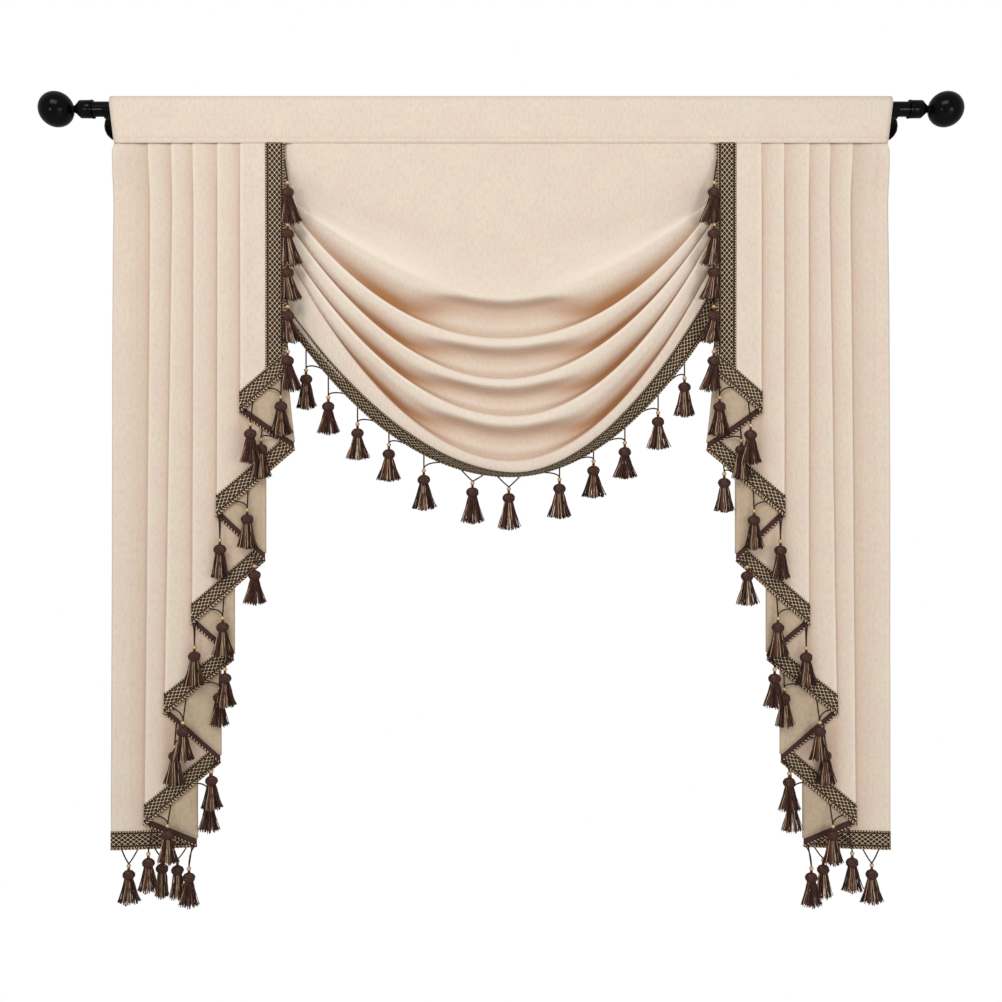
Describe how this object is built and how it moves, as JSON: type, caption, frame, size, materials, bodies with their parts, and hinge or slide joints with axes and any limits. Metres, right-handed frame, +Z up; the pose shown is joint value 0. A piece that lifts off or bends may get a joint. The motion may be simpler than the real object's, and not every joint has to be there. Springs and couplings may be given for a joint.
{
  "type": "swag and tail drape on curtain rod",
  "caption": "Swag and tail drape with a rod-pocket heading, draped swag, pleated stepped tails, woven braid and tassel fringe, hung on a plain rod with ball finials and wall brackets.",
  "frame": {"origin": "on the wall plane, midway between the two brackets, at the height of the rod's axis", "axes": "+X to the right as seen from the front, +Z up, the front faces -Y and the wall is the plane y = 0"},
  "size_m": [1.7938, 0.1449, 1.5814],
  "materials": {
    "cream_cloth": "soft chenille, cream",
    "woven_braid": "woven braid, dark brown with a gold lattice",
    "tassel_yarn": "twisted yarn, dark brown, burgundy and gold",
    "satin_black": "satin black"
  },
  "bodies": {
    "root": {"rod": "satin_black", "finial_left": "satin_black", "finial_right": "satin_black", "bracket_left": "satin_black", "bracket_right": "satin_black", "heading": "cream_cloth", "swag": "cream_cloth", "tail_left": "cream_cloth", "tail_right": "cream_cloth", "swag_braid": "woven_braid", "tail_braid_left": "woven_braid", "tail_braid_right": "woven_braid", "swag_fringe_far_left": "tassel_yarn", "swag_fringe_left": "tassel_yarn", "swag_fringe_right": "tassel_yarn", "swag_fringe_far_right": "tassel_yarn", "edge_fringe_left": "tassel_yarn", "edge_fringe_right": "tassel_yarn", "cascade_fringe_left_top": "tassel_yarn", "cascade_fringe_left_middle": "tassel_yarn", "cascade_fringe_left_low": "tassel_yarn", "cascade_fringe_right_top": "tassel_yarn", "cascade_fringe_right_middle": "tassel_yarn", "cascade_fringe_right_low": "tassel_yarn", "hem_fringe_left": "tassel_yarn", "hem_fringe_right": "tassel_yarn"}
  },
  "joints": []
}
